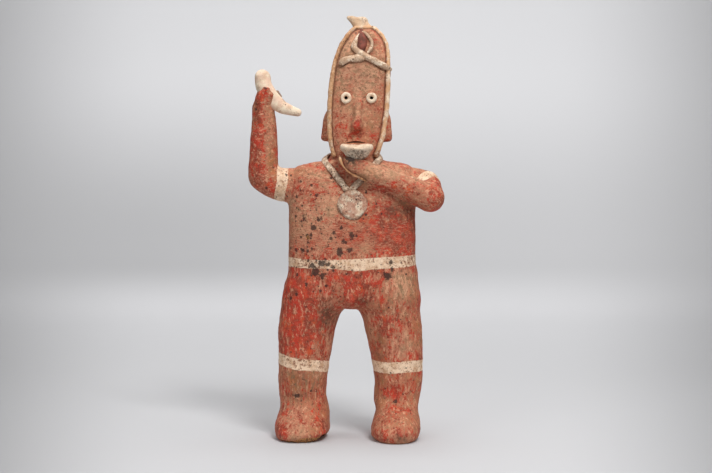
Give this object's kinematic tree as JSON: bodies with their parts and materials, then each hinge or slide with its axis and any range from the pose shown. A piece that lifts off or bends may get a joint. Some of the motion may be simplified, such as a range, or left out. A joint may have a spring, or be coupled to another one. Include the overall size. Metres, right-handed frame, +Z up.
{
  "type": "pottery figure",
  "caption": "Standing hand-built pottery figure with a tall strapped cap, a disc pendant, a raised arm gripping a curved club and a bent arm holding a small bowl at the mouth.",
  "frame": {"origin": "on the ground, in the middle of the figure's footprint box", "axes": "+Z up, the figure faces -Y, and +X is on the right of someone who faces the figure"},
  "size_m": [0.2368, 0.1066, 0.511],
  "materials": {
    "slipped_clay": "matt red-brown slip on fired clay, worn and burnished in patches, with cream painted bands and cream slip on the applied strips"
  },
  "bodies": {
    "root": {"figure": "slipped_clay"}
  },
  "joints": []
}
